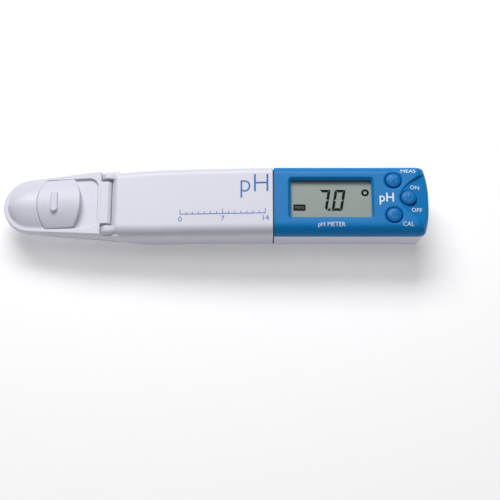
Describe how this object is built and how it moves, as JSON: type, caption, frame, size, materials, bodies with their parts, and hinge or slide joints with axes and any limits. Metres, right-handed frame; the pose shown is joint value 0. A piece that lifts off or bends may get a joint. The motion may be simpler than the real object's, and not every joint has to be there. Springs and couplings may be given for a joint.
{
  "type": "pocket ph meter",
  "caption": "Slim handheld pH meter with a display head, round keys and a plug-in flat sensor whose tip has a hinged light-shield cover with a slide cap.",
  "frame": {"origin": "middle of the length and width, on the flat underside", "axes": "+X from the sensor tip to the button end, +Z out of the display, +Y across to the left of the display as the tip points left"},
  "size_m": [0.164, 0.029, 0.0209],
  "materials": {
    "upper_case": "satin blue ABS",
    "lower_case": "satin white ABS",
    "display_window": "clear polycarbonate",
    "lcd_panel": "grey-green liquid crystal display",
    "lcd_frame": "black",
    "zebra_strips": "conductive elastomer",
    "meas_button": "satin blue",
    "power_button": "satin blue",
    "cal_button": "satin blue",
    "keypad_seal": "matte",
    "main_board": "glass-fibre board with solder mask",
    "key_switches": "stamped",
    "microcontroller": "moulded package with tinned leads",
    "amplifier_chip": "moulded package with tinned leads",
    "crystal_can": "drawn can",
    "chip_capacitors": "ceramic",
    "chip_resistors": "ceramic",
    "board_screws": "zinc plated",
    "case_seal": "matte",
    "battery_carrier": "moulded",
    "coin_cell_front": "nickel plated",
    "coin_cell_rear": "nickel plated",
    "cell_caps": "nickel plated",
    "positive_contacts": "gold plated spring",
    "negative_contacts": "gold plated spring",
    "cell_clip": "spring steel",
    "joint_gasket": "soft silicone",
    "pin_block": "black",
    "contact_pins": "gold plated",
    "sensor_housing": "satin white ABS",
    "bottom_cover": "satin white ABS",
    "chamber_bulkhead": "glass-fibre board",
    "contact_pads": "gold plated",
    "sensor_plate": "clear light blue",
    "ph_membrane": "thin pH glass",
    "liquid_junction": "porous ceramic",
    "well_seal": "soft silicone",
    "thermistor": "epoxy bead",
    "electrode_wires": "silver wire",
    "reference_gel": "thickened electrolyte",
    "hinge_pin": "ground",
    "light_shield_cover": "satin white ABS",
    "slide_cap": "satin white ABS",
    "release_tongue": "white ABS"
  },
  "bodies": {
    "meter": {"upper_case": "upper_case", "lower_case": "lower_case", "display_window": "display_window", "lcd_panel": "lcd_panel", "lcd_frame": "lcd_frame", "zebra_strips": "zebra_strips", "keypad_seal": "keypad_seal", "main_board": "main_board", "key_switches": "key_switches", "microcontroller": "microcontroller", "amplifier_chip": "amplifier_chip", "crystal_can": "crystal_can", "chip_capacitors": "chip_capacitors", "chip_resistors": "chip_resistors", "board_screws": "board_screws", "case_seal": "case_seal", "battery_carrier": "battery_carrier", "coin_cell_front": "coin_cell_front", "coin_cell_rear": "coin_cell_rear", "cell_caps": "cell_caps", "positive_contacts": "positive_contacts", "negative_contacts": "negative_contacts", "cell_clip": "cell_clip", "joint_gasket": "joint_gasket", "pin_block": "pin_block", "contact_pins": "contact_pins"},
    "meas_key": {"meas_button": "meas_button"},
    "power_key": {"power_button": "power_button"},
    "cal_key": {"cal_button": "cal_button"},
    "sensor": {"sensor_housing": "sensor_housing", "bottom_cover": "bottom_cover", "chamber_bulkhead": "chamber_bulkhead", "contact_pads": "contact_pads", "sensor_plate": "sensor_plate", "ph_membrane": "ph_membrane", "liquid_junction": "liquid_junction", "well_seal": "well_seal", "thermistor": "thermistor", "electrode_wires": "electrode_wires", "reference_gel": "reference_gel", "hinge_pin": "hinge_pin"},
    "shield": {"light_shield_cover": "light_shield_cover"},
    "cap": {"slide_cap": "slide_cap"},
    "latch": {"release_tongue": "release_tongue"}
  },
  "joints": [
    {"name": "sensor_slide", "type": "slide", "parent": "meter", "child": "sensor", "axis": [-1, 0, 0], "range_m": [0, 0.055]},
    {"name": "cover_hinge", "type": "hinge", "parent": "sensor", "child": "shield", "pos_m": [-0.0418, 0, 0.0143], "axis": [0, 1, 0], "range_deg": [0, 100]},
    {"name": "cap_slide", "type": "slide", "parent": "shield", "child": "cap", "axis": [0.9942, 0, 0.108], "range_m": [0, 0.006]},
    {"name": "latch_lift", "type": "hinge", "parent": "sensor", "child": "latch", "pos_m": [0.008, 0, 0.0008], "axis": [0, 1, 0], "range_deg": [0, 8], "stiffness_Nm_per_rad": 0.3},
    {"name": "meas_press", "type": "slide", "parent": "meter", "child": "meas_key", "axis": [0, 0, -1], "range_m": [0, 0.0005], "stiffness_N_per_m": 800},
    {"name": "power_press", "type": "slide", "parent": "meter", "child": "power_key", "axis": [0, 0, -1], "range_m": [0, 0.0005], "stiffness_N_per_m": 800},
    {"name": "cal_press", "type": "slide", "parent": "meter", "child": "cal_key", "axis": [0, 0, -1], "range_m": [0, 0.0005], "stiffness_N_per_m": 800}
  ]
}
